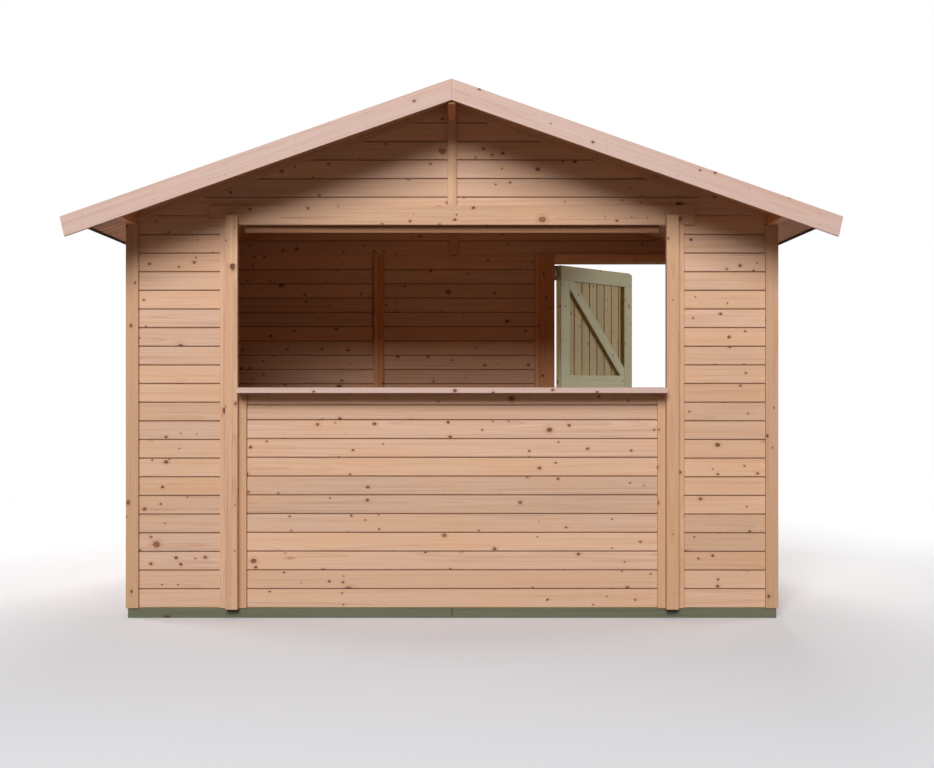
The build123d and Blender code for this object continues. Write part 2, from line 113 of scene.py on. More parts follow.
class Graph:
    """The nodes of a material or a world, with short ways to add to them."""

    def __init__(self, owner, shader="Principled BSDF"):
        owner.use_nodes = True
        self.owner = owner
        self.tree = owner.node_tree
        self.shader = self.tree.nodes[shader]

    def add(self, kind, inputs=None, **settings):
        made = self.tree.nodes.new(kind)
        for key, value in settings.items():
            setattr(made, key, value)
        for key, value in (inputs or {}).items():
            self.feed(made.inputs[key], value)
        return made

    def feed(self, socket, value):
        """Link an output to a socket, or set a constant on it."""
        if isinstance(value, bpy.types.NodeSocket):
            self.tree.links.new(value, socket)
        else:
            socket.default_value = value

    def set(self, name, value):
        """Feed an input of the shader itself."""
        self.feed(self.shader.inputs[name], value)

    def attribute(self, name, output):
        return self.add("ShaderNodeAttribute", attribute_name=name).outputs[output]

    def object_place(self):
        return self.add("ShaderNodeTexCoord").outputs["Object"]

    def math(self, operation, *values):
        made = self.add("ShaderNodeMath", operation=operation)
        for index, value in enumerate(values):
            self.feed(made.inputs[index], value)
        return made.outputs[0]

    def vector(self, x, y, z):
        return self.add("ShaderNodeCombineXYZ", {"X": x, "Y": y, "Z": z}).outputs[0]

    def parts(self, vector):
        return self.add("ShaderNodeSeparateXYZ", {"Vector": vector}).outputs

    def scaled(self, vector, scale):
        made = self.add("ShaderNodeVectorMath", operation="MULTIPLY")
        self.feed(made.inputs[0], vector)
        self.feed(made.inputs[1], scale)
        return made.outputs[0]

    def noise(self, vector, detail=2.0, roughness=0.5, scale=1.0):
        inputs = {"Vector": vector, "Scale": scale, "Detail": detail, "Roughness": roughness}
        return self.add("ShaderNodeTexNoise", inputs).outputs[0]

    def grain_noise(self, place, along, across, detail=2.0, roughness=0.5):
        """Noise with its own scale along the grain and across it."""
        return self.noise(self.scaled(place, (along, across, across)), detail, roughness)

    def span(self, value, low, high, to_low=0.0, to_high=1.0):
        """Carry a value from one range to another, with soft ends."""
        inputs = {"Value": value, "From Min": low, "From Max": high, "To Min": to_low, "To Max": to_high}
        return self.add("ShaderNodeMapRange", inputs, interpolation_type="SMOOTHSTEP").outputs[0]

    def mix(self, factor, a, b, blend="MIX"):
        made = self.add("ShaderNodeMix", data_type="RGBA", blend_type=blend)
        self.feed(made.inputs[0], factor)
        self.feed(made.inputs[6], a)
        self.feed(made.inputs[7], b)
        return made.outputs[2]

    def bump(self, height, strength, distance):
        made = self.add("ShaderNodeBump", {"Height": height, "Strength": strength, "Distance": distance})
        self.set("Normal", made.outputs[0])

    def seen(self):
        """1 for rays that see a surface, straight, mirrored or through glass, and 0 for all others."""
        rays = self.add("ShaderNodeLightPath").outputs
        straight = self.math("MAXIMUM", rays["Is Camera Ray"], rays["Is Glossy Ray"])
        return self.math("MAXIMUM", straight, rays["Is Transmission Ray"])


def linear(red, green, blue):
    """A colour given as the 0 to 255 values that a screen shows."""
    def channel(value):
        value /= 255
        return value / 12.92 if value <= 0.04045 else ((value + 0.055) / 1.055) ** 2.4
    return (channel(red), channel(green), channel(blue), 1.0)


def marks(graph, place, share, scale, small, large, steepness, along_share=0.78):
    """Round or long marks in a share of a pattern's cells: how many radii off one is, and its own tone."""
    spread = graph.scaled(place, (scale * along_share, scale, 0.0))
    cells = graph.add("ShaderNodeTexVoronoi", {"Vector": spread, "Scale": 1.0}, voronoi_dimensions="2D")
    pick = graph.parts(cells.outputs["Color"])
    present = graph.math("LESS_THAN", pick[0], share)
    size = graph.math("POWER", pick[1], steepness)
    radius = graph.math("MULTIPLY_ADD", size, (large - small) * scale, small * scale)
    ragged = graph.grain_noise(place, 150, 210)
    ragged = graph.math("MULTIPLY_ADD", ragged, 1.2, 0.4)
    reach = graph.math("DIVIDE", graph.math("MULTIPLY", cells.outputs["Distance"], ragged), radius)
    far_off = 100.0
    reach = graph.math("MULTIPLY_ADD", graph.math("SUBTRACT", 1.0, present), far_off, reach)
    return reach, pick[2]


def wood_knots(graph, place, face, many, on_end, knotty):
    """Knots in loose groups along a board: how many radii off the nearest one is, and its tone."""
    whorl = graph.grain_noise(place, 2.6, 0.4, 1.0)
    cluster = graph.span(whorl, 0.40, 0.64, 0.05, 0.62)
    small_share = graph.math("MULTIPLY", graph.math("MULTIPLY", many, cluster), knotty)
    large_share = graph.math("MULTIPLY", many, 0.27 * knotty)
    near_small, tint_small = marks(graph, face, small_share, **small_knot)
    near_large, tint_large = marks(graph, face, large_share, **large_knot)
    # An end face has none
    far_off = 50.0
    reach = graph.math("MINIMUM", near_small, near_large)
    reach = graph.math("MULTIPLY_ADD", on_end, far_off, reach)
    is_large = graph.math("LESS_THAN", near_large, near_small)
    tint = graph.math("MULTIPLY", graph.math("MULTIPLY_ADD", is_large, 0.2, 0.45), tint_large)
    tint = graph.math("MULTIPLY_ADD", tint_small, 0.25, tint)
    return reach, tint


def wood_rings(graph, place, across, deep, halo):
    """The dark late part of the year rings, which bend round the knots and wander along the board."""
    rings_to_a_metre = 210.0
    wander = graph.grain_noise(place, 0.8, 4.0)
    squares = graph.math("ADD", graph.math("MULTIPLY", across, across), graph.math("MULTIPLY", deep, deep))
    pith = graph.math("SQRT", squares)
    pith = graph.math("MULTIPLY_ADD", wander, 0.034, pith)
    pith = graph.math("MULTIPLY_ADD", halo, 0.0045, pith)
    year = graph.math("FRACT", graph.math("MULTIPLY", pith, rings_to_a_metre))
    return graph.math("MULTIPLY", graph.math("POWER", year, 3.5), graph.span(year, 1.0, 0.92))


def wood_smears(graph, place, face, on_end, knotty, resin):
    """Now and then a long brown smear where a branch lies just under the surface."""
    strength = 0.62 * resin
    near = marks(graph, face, 0.07 * knotty, **smear_mark)[0]
    hatch = graph.grain_noise(place, 260.0, 60.0, 1.0)
    smear = graph.math("MULTIPLY", graph.span(near, 1.3, 0.4), graph.span(hatch, 0.40, 0.62, 0.35, 1.0))
    off_ends = graph.math("SUBTRACT", strength, graph.math("MULTIPLY", on_end, strength))
    return graph.math("MULTIPLY", smear, off_ends)


def wood(name, light, dark, warm, knotty=1.0, grain=1.0, shade=0.09, rough=0.62, hue=0.42, resin=1.0):
    """Planed softwood: year rings about the pith, fibres, knots, and a tone for each board.

    knotty says how many knots there are, grain how dark the lines are, resin how brown the marks are, and
    shade and hue how much the boards differ in tone and in warmth.
    """
    light, dark, warm = linear(*light), linear(*dark), linear(*warm)
    graph = Graph(bpy.data.materials.new(name))
    place = graph.attribute("grain", "Vector")
    tone, warmth, many = graph.parts(graph.attribute("board", "Vector"))
    along, across, deep = graph.parts(place)

    # The side is 0 on a broad face, 1 on an edge face and 2 on an end
    side = graph.attribute("side", "Fac")
    off_face = graph.math("GREATER_THAN", side, 0.5)
    on_edge = graph.math("MULTIPLY", off_face, graph.math("LESS_THAN", side, 1.5))
    on_end = graph.math("GREATER_THAN", side, 1.5)

    # The knots of an edge face are spread over its own width
    width = graph.math("MULTIPLY_ADD", on_edge, graph.math("SUBTRACT", deep, across), across)
    face = graph.vector(along, width, 0.0)
    reach, tint = wood_knots(graph, place, face, many, on_end, knotty)
    core = graph.span(reach, 1.12, 0.8)
    rim = graph.math("MULTIPLY", graph.span(reach, 1.4, 1.0), graph.span(reach, 0.6, 0.95))
    halo = graph.span(reach, 3.4, 0.9)

    # Dark lines and the darker end grain
    late = wood_rings(graph, place, across, deep, halo)
    fibre = graph.grain_noise(place, 7.0, 640.0, 3.0, 0.6)
    streak = graph.grain_noise(place, 1.3, 80.0, 3.0, 0.55)
    darkness = graph.math("MULTIPLY", late, 0.30 * grain)
    darkness = graph.math("MULTIPLY_ADD", graph.span(streak, 0.44, 0.74), 0.30 * grain, darkness)
    darkness = graph.math("MULTIPLY_ADD", graph.span(fibre, 0.45, 0.75), 0.18 * grain, darkness)
    darkness = graph.math("MULTIPLY_ADD", on_end, 0.42, darkness)
    colour = graph.mix(graph.math("MINIMUM", darkness, 1.0), light, dark)

    # Warm patches, the board's own warmth and its own tone
    patch = graph.grain_noise(place, 1.8, 8.0)
    colour = graph.mix(graph.math("MULTIPLY", graph.span(patch, 0.44, 0.74), 0.4), colour, warm)
    colour = graph.mix(graph.math("MULTIPLY", warmth, hue), colour, warm)
    level = graph.math("MULTIPLY_ADD", tone, 2 * shade, 1.0 - shade)
    colour = graph.mix(1.0, colour, graph.vector(level, level, level), "MULTIPLY")

    # Smears, then each knot from the brown round it to its heart and its dark rim
    smear = wood_smears(graph, place, face, on_end, knotty, resin)
    colour = graph.mix(smear, colour, linear(*smear_brown))
    colour = graph.mix(graph.math("MULTIPLY", halo, 0.30 * resin), colour, linear(*halo_brown))
    heart = graph.mix(graph.math("MULTIPLY", tint, resin), linear(*dark_heart), linear(*light_heart))
    colour = graph.mix(graph.math("MULTIPLY", core, 0.92), colour, heart)
    colour = graph.mix(graph.math("MULTIPLY", rim, 0.6), colour, linear(*rim_brown))
    graph.set("Base Color", colour)

    graph.set("Roughness", graph.math("MULTIPLY_ADD", fibre, 0.16, rough - 0.08))
    graph.set("Specular IOR Level", 0.3)
    relief = graph.math("MULTIPLY_ADD", late, 0.5, fibre)
    relief = graph.math("MULTIPLY_ADD", core, -0.8, relief)
    graph.bump(relief, 0.35, 0.0008)
    return graph.owner


def felt_material():
    """Bitumen felt with fine slate grit."""
    graph = Graph(bpy.data.materials.new("felt"))
    place = graph.object_place()
    grit = graph.noise(place, 2.0, 0.7, 900.0)
    cloud = graph.noise(place, 4.0, 0.55, 3.0)
    colour = graph.mix(graph.span(grit, 0.35, 0.68), linear(24, 25, 27), linear(74, 76, 78))
    colour = graph.mix(graph.math("MULTIPLY", graph.span(cloud, 0.4, 0.7), 0.4), colour, linear(52, 50, 46))
    graph.set("Base Color", colour)
    graph.set("Roughness", 0.88)
    graph.bump(grit, 0.5, 0.0012)
    return graph.owner


def steel_material(name, dark, light, metallic):
    """Plate or wire with faint mottling and scuffs."""
    graph = Graph(bpy.data.materials.new(name))
    place = graph.object_place()
    mottle = graph.noise(place, 3.0, 0.6, 120.0)
    scuff = graph.noise(place, 4.0, 0.7, 420.0)
    graph.set("Base Color", graph.mix(graph.span(mottle, 0.35, 0.7), linear(*dark), linear(*light)))
    graph.set("Metallic", metallic)
    graph.set("Roughness", graph.math("MULTIPLY_ADD", scuff, 0.25, 0.3))
    graph.bump(scuff, 0.15, 0.0004)
    return graph.owner


materials = {
    "wall": wood("spruce_wall", (214, 178, 150), (156, 104, 70), (212, 164, 120), 0.85),
    "trim": wood("spruce_trim", (208, 169, 136), (150, 100, 62), (204, 156, 112), 0.7, grain=1.25),
    # A warmer copy of the wall wood for the back walls: painted warm shade of the room inside, which shows on
    # their outer faces too
    "inner": wood("spruce_inner_warm_shade", (214, 172, 141), (155, 100, 66), (212, 157, 111), 0.85),
    "barge": wood(
        "spruce_barge", (206, 177, 163), (172, 132, 110), (202, 166, 142), 0.8, shade=0.03, hue=0.15),
    "frame": wood("spruce_frame", (208, 148, 102), (152, 88, 50), (200, 130, 74), 0.7),
    "soffit": wood("spruce_roof", (208, 162, 126), (146, 90, 54), (198, 136, 88), grain=1.3),
    # The leaf's boards and ledges are darker and greener than the walls: partly a wood of their own, partly
    # painted shade with a green tint
    "door": wood("spruce_door", (180, 165, 112), (132, 108, 60), (174, 144, 88), 0.9),
    "ledge": wood("spruce_ledge", (188, 190, 153), (150, 141, 103), (181, 172, 127), 1.1),
    "floor": wood("spruce_floor", (172, 140, 108), (116, 84, 58), (156, 112, 74)),
    "bearer": wood(
        "treated_bearer", (108, 113, 90), (66, 69, 52), (104, 98, 72), 0.5, grain=1.4, rough=0.8, resin=0.25),
    "felt": felt_material(),
    "steel": steel_material("zinc_steel", (150, 154, 158), (186, 188, 188), 0.9),
    "nail": steel_material("dull_nails", (84, 68, 56), (118, 98, 82), 0.0),
}


def add_object(name, data):
    """A new object in the scene."""
    made = bpy.data.objects.new(name, data)
    bpy.context.scene.collection.objects.link(made)
    return made


def plain_mesh(name, verts, faces, material, slot, body, *nodes):
    """One piece from lists of vertices and faces, in place of the CAD nodes that it names."""
    data = bpy.data.meshes.new(name)
    data.from_pydata(verts, [], faces)
    data.materials.append(materials[material])
    made = add_object(name, data)
    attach(made, body)
    if nodes:
        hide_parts(*nodes)
    return made


def node_mesh(node):
    """A CAD node's mesh with its vertices welded and its flat faces whole."""
    mesh = bmesh.new()
    mesh.from_mesh(frame["nodes"][node].data)
    bmesh.ops.remove_doubles(mesh, verts=mesh.verts, dist=1e-5)
    bmesh.ops.dissolve_limit(
        mesh, angle_limit=math.radians(1), verts=mesh.verts, edges=mesh.edges, delimit=set()
    )
    return mesh


def split_solids(mesh):
    """The separate solids of a mesh, each as a mesh of its own."""
    left = set(mesh.verts)
    solids = []
    while left:
        group = {left.pop()}
        frontier = list(group)
        while frontier:
            vert = frontier.pop()
            for link in vert.link_edges:
                other = link.other_vert(vert)
                if other in left:
                    left.discard(other)
                    group.add(other)
                    frontier.append(other)
        solid = bmesh.new()
        copies = {vert: solid.verts.new(vert.co) for vert in sorted(group, key=lambda v: v.index)}
        for face in mesh.faces:
            if face.verts[0] in group:
                solid.faces.new([copies[vert] for vert in face.verts])
        solid.normal_update()
        solids.append(solid)
    solids.sort(key=lambda s: sum((v.co for v in s.verts), Vector()).to_tuple(4))
    return solids


def longest_run(mesh, normal_to=None):
    """The direction of the longest edge, or of the longest one square to another direction."""
    best = X
    length = 0.0
    for edge in mesh.edges:
        run = edge.verts[1].co - edge.verts[0].co
        if normal_to is not None:
            run -= normal_to * run.dot(normal_to)
        if run.length > length + 1e-6:
            best = run.normalized()
            length = run.length
    return best


def slice_between(mesh, normal, low, high):
    """The part of a solid between two planes square to normal, closed again."""
    part = mesh.copy()
    for place, clear in ((low, {"clear_inner": True}), (high, {"clear_outer": True})):
        geometry = part.verts[:] + part.edges[:] + part.faces[:]
        cut = bmesh.ops.bisect_plane(
            part, geom=geometry, dist=1e-6, plane_co=normal * place, plane_no=normal, **clear
        )
        edges = [item for item in cut["geom_cut"] if isinstance(item, bmesh.types.BMEdge)]
        if edges:
            bmesh.ops.holes_fill(part, edges=edges, sides=0)
    part.normal_update()
    return part


def round_edges(mesh, radius, segments=2, chosen=None):
    """Bevel the sharp edges of a solid, or those of the chosen ones that are sharp."""
    sharp_angle = math.radians(20)
    sharp = [
        edge for edge in (mesh.edges if chosen is None else chosen)
        if len(edge.link_faces) == 2 and edge.calc_face_angle(0) > sharp_angle
    ]
    bmesh.ops.bevel(
        mesh, geom=sharp, offset=radius, segments=segments, profile=0.6, affect="EDGES",
        clamp_overlap=True,
    )


def thinned(mesh, normal, share):
    """Squeeze a solid towards its middle plane, square to normal."""
    places = [vert.co.dot(normal) for vert in mesh.verts]
    middle = (min(places) + max(places)) / 2
    for vert in mesh.verts:
        vert.co += normal * (middle - vert.co.dot(normal)) * (1 - share)


class Timbers:
    """Boards gathered into one mesh, each with its own grain and tone."""

    def __init__(self, name):
        self.name = name
        self.luck = random.Random(name)
        self.verts = []
        self.faces = []
        self.grain = []
        self.board = []
        self.side = []

    def add(self, mesh, along, across, tone=None):
        """Take a solid in, with its place in the tree and its tone drawn by chance unless one is given."""
        deep = along.cross(across).normalized()
        pith_depth = self.luck.uniform(0.015, 0.07)
        start_along = self.luck.uniform(0, 40)
        start_across = self.luck.uniform(-0.06, 0.06)
        own_tone = self.luck.random()
        warmth = self.luck.random()
        knot_share = self.luck.uniform(0.25, 1.0)
        board = (own_tone if tone is None else tone, warmth, knot_share)
        middle = sum((vert.co for vert in mesh.verts), Vector()) / max(1, len(mesh.verts))
        base = len(self.verts)
        for index, vert in enumerate(mesh.verts):
            vert.index = index
            place = vert.co - middle
            self.verts.append(vert.co.to_tuple())
            self.grain.append((
                place.dot(along) + start_along,
                place.dot(across) + start_across,
                place.dot(deep) + pith_depth,
            ))
            self.board.append(board)
        for face in mesh.faces:
            self.faces.append([base + vert.index for vert in face.verts])
            facing = [abs(face.normal.dot(way)) for way in (deep, across, along)]
            self.side.append(float(facing.index(max(facing))))
        mesh.free()

    def make(self, material, slot, body, *nodes):
        """Put the mesh in the scene, with what its material reads of each board."""
        made = plain_mesh(self.name, self.verts, self.faces, material, slot, body, *nodes)
        for key, values in (("grain", self.grain), ("board", self.board)):
            attribute = made.data.attributes.new(key, "FLOAT_VECTOR", "POINT")
            attribute.data.foreach_set("vector", [number for value in values for number in value])
        side = made.data.attributes.new("side", "FLOAT", "FACE")
        side.data.foreach_set("value", self.side)


def joints_between(low, high, start, cover, top_board):
    """Where boards meet: every cover width from start on, the last one a ripped top board's width down."""
    first = math.floor((low - start) / cover + 1e-4)
    last = math.ceil((high - start) / cover - 1e-4)
    joints = [start + index * cover for index in range(first + 1, last)]
    if top_board is not None:
        joints[-1] = high - top_board
    return joints


def runs_at(edge, across, ends):
    """Whether an edge lies square to across at one of the ends of a board."""
    run = (edge.verts[1].co - edge.verts[0].co).normalized()
    place = edge.verts[0].co.dot(across)
    return abs(run.dot(across)) < 0.01 and any(abs(place - end) < 2e-4 for end in ends)


def boarded(
    node, material, slot, across, start, body="stall", along=None, cover=board_cover, top_board=None,
):
    """Tongued boards in place of a slab, with their joints at start and every cover width on."""
    # Where a board ends with the slab, its plane is set just clear of the slab and cuts nothing
    no_cut = -1e-4
    made = Timbers(node + "_boards")
    mesh = node_mesh(node)
    for solid in split_solids(mesh):
        run = along or longest_run(solid, across)
        deep = run.cross(across).normalized()
        places = [vert.co.dot(across) for vert in solid.verts]
        low, high = min(places), max(places)
        limits = [low, *joints_between(low, high, start, cover, top_board), high]
        for base, top in zip(limits, limits[1:]):
            joint_above = top < high - 1e-5
            board_low = base + (board_gap / 2 if base > low + 1e-5 else no_cut)
            board_high = top - (board_gap / 2 if joint_above else no_cut)
            board = slice_between(solid, across, board_low, board_high)
            if not board.faces:
                board.free()
                continue
            joint_edges = [edge for edge in board.edges if runs_at(edge, across, (board_low, board_high))]
            round_edges(board, board_chamfer, 1, joint_edges)
            bmesh.ops.dissolve_degenerate(board, edges=board.edges, dist=1e-6)
            made.add(board, run, across)
            if joint_above:
                tongue = slice_between(solid, across, top - tongue_overlap, top + tongue_overlap)
                if tongue.faces:
                    thinned(tongue, deep, tongue_share)
                    # Painted shade: the tongue takes a tone darker than any board draws
                    made.add(tongue, run, across, groove_shade_tone)
        solid.free()
    mesh.free()
    made.make(material, slot, body, node)


def dressed(node, material, slot, body="stall", radius=edge_round, tone=None):
    """The solids of a node as single timbers, with eased edges and grain along them."""
    made = Timbers(node + "_timber")
    mesh = node_mesh(node)
    for solid in split_solids(mesh):
        run = longest_run(solid)
        across = longest_run(solid, run)
        across = (across - run * across.dot(run)).normalized()
        round_edges(solid, radius)
        made.add(solid, run, across, tone)
    mesh.free()
    made.make(material, slot, body, node)


def make_walls():
    """Walls and gables with level boards counted up from the base."""
    base_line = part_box("left_wall")[0].z
    for node in (
        "front_wall_left", "front_wall_right", "front_gable", "left_wall", "right_wall",
        "back_wall_left", "back_wall_middle", "back_wall_beside_door", "back_wall_over_door", "back_gable",
    ):
        along = Y if node in ("left_wall", "right_wall") else X
        # The back walls take the warmer copy, a painted warm shade
        finish = "inner" if node.startswith("back") else "wall"
        boarded(node, finish, "wall_boards", Z, base_line, along=along)
    boarded(
        "front_parapet", "wall", "wall_boards", Z, base_line, along=X,
        cover=parapet_cover, top_board=parapet_top_board,
    )


def make_roof():
    """Roof boards that run down the slope from the ridge."""
    for node in ("roof_left", "roof_right"):
        boarded(node, "soffit", "roof_boards", Y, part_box(node)[0].y)


def make_floor():
    """Floor boards that run from front to back."""
    for node in ("floor_left", "floor_right"):
        boarded(node, "floor", "floor_wood", X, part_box(node)[0].x, along=Y)


def make_door():
    """The leaf: upright boards with the frame pieces on their inner side."""
    edge = min(
        vert.co.dot(leaf_across) for vert in frame["nodes"]["door_boards"].data.vertices
    )
    boarded("door_boards", "door", "door_wood", leaf_across, edge, "door", Z)
    for node in ("door_ledges", "door_stiles", "door_braces"):
        dressed(node, "ledge", "door_wood", "door")


def make_timbers():
    """Everything else that is a plain length of timber."""
    for node in ("base_bearers_long", "base_bearers_side"):
        dressed(node, "bearer", "bearer_wood", radius=bearer_round)
    dressed("lintel_board", "trim", "trim_wood", tone=lintel_tone)
    for node in (
        "front_posts", "post_backings", "parapet_battens",
        "front_corner_trims", "back_corner_trims", "gable_trims", "gable_battens", "door_casing",
    ):
        dressed(node, "trim", "trim_wood")
    for node in ("front_barge_left", "front_barge_right", "back_barge_left", "back_barge_right"):
        dressed(node, "barge", "barge_wood")
    dressed("counter", "barge", "counter_wood")
    # Painted shade: the batten takes a dark tone for the lintel's shadow on it
    dressed("header_batten", "frame", "trim_wood", tone=batten_shade_tone)
    # Painted light: the door head takes a tone above any that a board draws
    dressed("door_head", "trim", "frame_wood", tone=door_head_light_tone)
    for node in (
        "header_rail", "counter_rail", "front_wall_studs", "back_wall_studs", "back_gable_stud",
        "end_wall_plates", "side_wall_studs", "side_wall_plates", "ridge_purlin", "eave_purlins",
        "door_jambs", "door_sill",
    ):
        dressed(node, "frame", "frame_wood")


def heads(name, places, material, slot, body, radius, height):
    """Nail or screw heads: low domes at pairs of a point and the way that they face."""
    sides = 10
    # Each ring of a dome as a share of its radius and of its height
    rings = ((1.0, -0.3), (1.0, 0.35), (0.8, 0.85), (0.35, 1.0))
    verts = []
    faces = []
    for point, facing in places:
        turn = facing.to_track_quat("Z", "Y").to_matrix()
        base = len(verts)
        for share, rise in rings:
            for index in range(sides):
                angle = math.tau * index / sides
                x = math.cos(angle) * radius * share
                y = math.sin(angle) * radius * share
                verts.append((point + turn @ Vector((x, y, rise * height))).to_tuple())
        for ring in range(len(rings) - 1):
            for index in range(sides):
                after = (index + 1) % sides
                low = base + ring * sides
                faces.append([low + index, low + after, low + sides + after, low + sides + index])
        top = base + (len(rings) - 1) * sides
        faces.append([top + index for index in range(sides)])
        faces.append([base + index for index in reversed(range(sides))])
    made = plain_mesh(name, verts, faces, material, slot, body)
    made.data.polygons.foreach_set("use_smooth", [len(face.vertices) == 4 for face in made.data.polygons])


def felt_lines():
    """The top of the right roof boards: its height at the ridge, how far out it goes, its height there."""
    verts = [vert.co for vert in frame["nodes"]["roof_right"].data.vertices]
    reach = max(vert.x for vert in verts)
    ridge = max(vert.z for vert in verts)
    eave = max(vert.z for vert in verts if vert.x > reach - 1e-4)
    return ridge, reach, eave


def felt_lift(x, y, z, seed):
    """How far a sheet stands off the boards at a point: long slight waves with finer ones on them."""
    wave = 0.0007 * noise.noise(Vector((x * 2.2 + seed, y * 2.6, z * 2.2)))
    fine = 0.0003 * noise.noise(Vector((x * 9 + seed, y * 9, 5.0)))
    return max(0.0, 0.0004 + wave + fine)


def felt_strip(path, thick, ends, seed):
    """A sheet that follows a path of x and z points from one end along y to the other, slightly waved."""
    count = len(path)
    steps = 54
    normals = []
    for index in range(count):
        before = path[max(index - 1, 0)]
        after = path[min(index + 1, count - 1)]
        run = Vector((after[0] - before[0], after[1] - before[1])).normalized()
        normals.append((-run.y, run.x))
    verts = []
    for step in range(steps + 1):
        y = ends[0] + (ends[1] - ends[0]) * step / steps
        for (x, z), (nx, nz) in zip(path, normals):
            lift = felt_lift(x, y, z, seed)
            for rise in (lift, lift + thick):
                verts.append((x + nx * rise, y, z + nz * rise))
    faces = []
    row = 2 * count
    for step in range(steps):
        base = step * row
        for index in range(count - 1):
            low = base + 2 * index
            faces.append([low + 1, low + 3, low + 3 + row, low + 1 + row])
            faces.append([low, low + row, low + 2 + row, low + 2])
        faces.append([base, base + 1, base + 1 + row, base + row])
        last = base + row - 2
        faces.append([last, last + row, last + 1 + row, last + 1])
    for base, flip in ((0, False), (steps * row, True)):
        for index in range(count - 1):
            low = base + 2 * index
            face = [low, low + 2, low + 3, low + 1]
            faces.append(face[::-1] if flip else face)
    return verts, faces


def make_felt():
    """Two courses of felt on each half of the roof, a strip over the ridge, and their nails."""
    margin = 0.002
    longest_piece = 0.05
    lap_step = 0.02
    edge_gap = 0.0004
    fold_start = 0.003
    fold_end = 0.012
    lip_clear = 0.0005
    ridge, reach, eave = felt_lines()
    slope = Vector((reach, 0, eave - ridge))
    run = slope.length
    way = slope.normalized()
    up = Vector((-way.z, 0, way.x))
    ends = (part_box("roof_right")[0].y + margin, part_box("roof_right")[1].y - margin)
    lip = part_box("felt_right")[0].z + lip_clear

    def point(distance, rise=0.0):
        place = Vector((0, 0, ridge)) + way * distance + up * rise
        return (place.x, place.z)

    def spread(first, last, rise):
        pieces = max(2, round((last - first) / longest_piece))
        return [point(first + (last - first) * index / pieces, rise) for index in range(pieces + 1)]

    lap = run - felt_course
    lower = spread(lap, run - fold_start, 0.0)
    lower += [(reach + edge_gap, z) for z in (eave - fold_start, eave - fold_end, lip)]
    upper = spread(0.0, lap - lap_step, 0.0) + spread(lap, lap + felt_lap, felt_sheet)
    cap = spread(0.0, felt_cap, felt_sheet)
    for side, name in ((1, "felt_right"), (-1, "felt_left")):
        verts = []
        faces = []
        for seed, path in enumerate((lower, upper, cap)):
            strip_verts, strip_faces = felt_strip(path, felt_sheet, ends, seed * 7 + side)
            base = len(verts)
            verts += [(side * x, y, z) for x, y, z in strip_verts]
            turned = [[base + vert for vert in face] for face in strip_faces]
            faces += turned if side > 0 else [face[::-1] for face in turned]
        made = plain_mesh(name + "_sheets", verts, faces, "felt", "roofing_felt", "stall", name)
        made.data.polygons.foreach_set("use_smooth", [False] * len(faces))
    make_clouts(point, run, up, ends, lap)


def make_clouts(point, run, up, ends, lap):
    """Rows of clout nails along the lap, the ridge strip and the eave, and down both ends of the roof."""
    end_inset = 0.02
    head_seat = 0.0006
    lap_inset = 0.025
    cap_inset = 0.02
    eave_inset = 0.03
    rows = (
        (lap + felt_lap - lap_inset, 2 * felt_sheet), (felt_cap - cap_inset, 2 * felt_sheet),
        (run - eave_inset, felt_sheet),
    )
    along_count = round((ends[1] - ends[0]) / clout_spacing)
    down_count = round(run / clout_spacing) - 1
    luck = random.Random("clouts")
    places = []
    for side in (1, -1):
        facing = Vector((side * up.x, 0, up.z))
        for distance, rise in rows:
            for index in range(along_count + 1):
                y = ends[0] + end_inset + (ends[1] - ends[0] - 2 * end_inset) * index / along_count
                x, z = point(distance + luck.uniform(-0.004, 0.004), rise + head_seat)
                places.append((Vector((side * x, y + luck.uniform(-0.006, 0.006), z)), facing))
        for y in (ends[0] + end_inset, ends[1] - end_inset):
            for index in range(1, down_count):
                distance = run * index / down_count
                rise = felt_sheet * (2 if distance < felt_cap else 1)
                x, z = point(distance, rise + head_seat)
                places.append((Vector((side * x, y + luck.uniform(-0.003, 0.003), z)), facing))
    heads("felt_clouts", places, "nail", "steel", "stall", **clout)


def turned_about_hinge(place, angle):
    """A point of the leaf after a turn about the hinge."""
    away = Vector((place[0] - hinge_place.x, place[1] - hinge_place.y, 0))
    turned = Matrix.Rotation(angle, 3, "Z") @ away
    return Vector((hinge_place.x + turned.x, hinge_place.y + turned.y, place[2]))


def to_open(x, y, z):
    """Where a point of the shut leaf is when the door stands open as in the photograph."""
    return turned_about_hinge((x, y, z), open_angle)


def shut_extent(node):
    """The low and high corner of a leaf piece as it is when the door is shut."""
    points = [turned_about_hinge(vert.co, -open_angle) for vert in frame["nodes"][node].data.vertices]
    low = Vector([min(point[axis] for point in points) for axis in range(3)])
    high = Vector([max(point[axis] for point in points) for axis in range(3)])
    return low, high


def corner_trim_nails(jitter):
    """Nails up both boards of each corner trim, those of the side board a little higher."""
    inset = 0.029
    lowest = 0.06
    top_clear = 0.03
    side_higher = 0.04
    spacing = 0.34
    places = []
    for node, facing in (("front_corner_trims", -Y), ("back_corner_trims", Y)):
        low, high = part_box(node)
        face_y = low.y if facing.y < 0 else high.y
        side_y = face_y - facing.y * inset
        for side in (-1, 1):
            z = low.z + lowest
            while z < high.z - top_clear:
                places.append((Vector((side * (high.x - inset) + jitter(), face_y, z + jitter())), facing))
                places.append((Vector((side * high.x, side_y + jitter(), z + side_higher)), X * side))
                z += spacing
    return places


